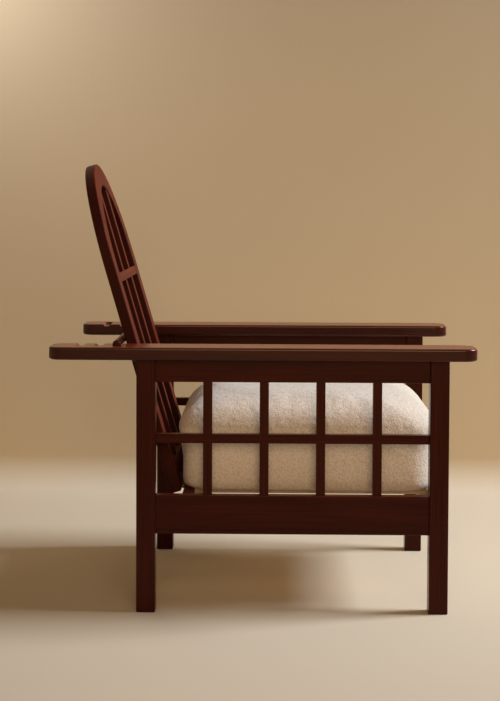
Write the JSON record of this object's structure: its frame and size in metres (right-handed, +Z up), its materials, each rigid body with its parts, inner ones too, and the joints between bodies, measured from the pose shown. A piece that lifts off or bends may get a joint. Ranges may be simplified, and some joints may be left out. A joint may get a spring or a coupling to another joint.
{
  "type": "reclining armchair",
  "caption": "Wooden reclining armchair with lattice sides, flat arms, a hooped back on hinges held by a bar in arm notches, and a thick loose seat cushion.",
  "frame": {"origin": "on the floor, midway along and between the arms", "axes": "+X the chair's front, +Y the sitter's left, +Z up"},
  "size_m": [0.94, 0.71, 0.9957],
  "materials": {
    "frame_wood": "dark red-brown stain under satin lacquer",
    "deck_wood": "plain sanded wood, hidden below the cushion",
    "cushion_cover": "ivory looped wool cloth",
    "hinge_brass": "aged satin",
    "screw_steel": "satin"
  },
  "bodies": {
    "frame": {"arm_left": "frame_wood", "arm_right": "frame_wood", "cleat_screws": "screw_steel", "front_cleat": "deck_wood", "front_post_left": "frame_wood", "front_post_right": "frame_wood", "front_seat_rail": "frame_wood", "hinge_pin_left": "hinge_brass", "hinge_pin_right": "hinge_brass", "hinge_rail_leaf_left": "hinge_brass", "hinge_rail_leaf_right": "hinge_brass", "hinge_rail_screws": "screw_steel", "lattice_rail_left": "frame_wood", "lattice_rail_right": "frame_wood", "lattice_upright_left_1": "frame_wood", "lattice_upright_left_2": "frame_wood", "lattice_upright_left_3": "frame_wood", "lattice_upright_left_4": "frame_wood", "lattice_upright_right_1": "frame_wood", "lattice_upright_right_2": "frame_wood", "lattice_upright_right_3": "frame_wood", "lattice_upright_right_4": "frame_wood", "lower_side_rail_left": "frame_wood", "lower_side_rail_right": "frame_wood", "rear_cleat": "deck_wood", "rear_post_left": "frame_wood", "rear_post_right": "frame_wood", "rear_seat_rail": "frame_wood", "seat_slat_1": "deck_wood", "seat_slat_2": "deck_wood", "seat_slat_3": "deck_wood", "seat_slat_4": "deck_wood", "seat_slat_5": "deck_wood", "slat_screws": "screw_steel", "upper_side_rail_left": "frame_wood", "upper_side_rail_right": "frame_wood"},
    "back": {"back_bottom_rail": "frame_wood", "back_cross_rail": "frame_wood", "back_hoop_left": "frame_wood", "back_hoop_right": "frame_wood", "back_lower_slat_left": "frame_wood", "back_lower_slat_right": "frame_wood", "back_stile_left": "frame_wood", "back_stile_right": "frame_wood", "back_upper_slat_left": "frame_wood", "back_upper_slat_right": "frame_wood", "crown_key": "frame_wood", "hinge_back_leaf_left": "hinge_brass", "hinge_back_leaf_right": "hinge_brass", "hinge_back_screws": "screw_steel", "springing_key_left": "frame_wood", "springing_key_right": "frame_wood"},
    "bar": {"support_bar": "frame_wood"},
    "cushion": {"seat_cushion": "cushion_cover"}
  },
  "joints": [
    {"name": "back_recline", "type": "hinge", "parent": "frame", "child": "back", "pos_m": [-0.1823, 0, 0.252], "axis": [0, -1, 0], "range_deg": [0, 11.2]},
    {"name": "bar_transfer", "type": "hinge", "parent": "frame", "child": "bar", "pos_m": [-0.36358, 0, 0.54415], "axis": [0, -1, 0], "range_deg": [0, 80]},
    {"name": "cushion_slide", "type": "slide", "parent": "frame", "child": "cushion", "axis": [1, 0, 0], "range_m": [0, 0.6]}
  ],
  "couplings": [
    {"joint": "bar_transfer", "follows": "back_recline", "ratio": 7.14}
  ]
}
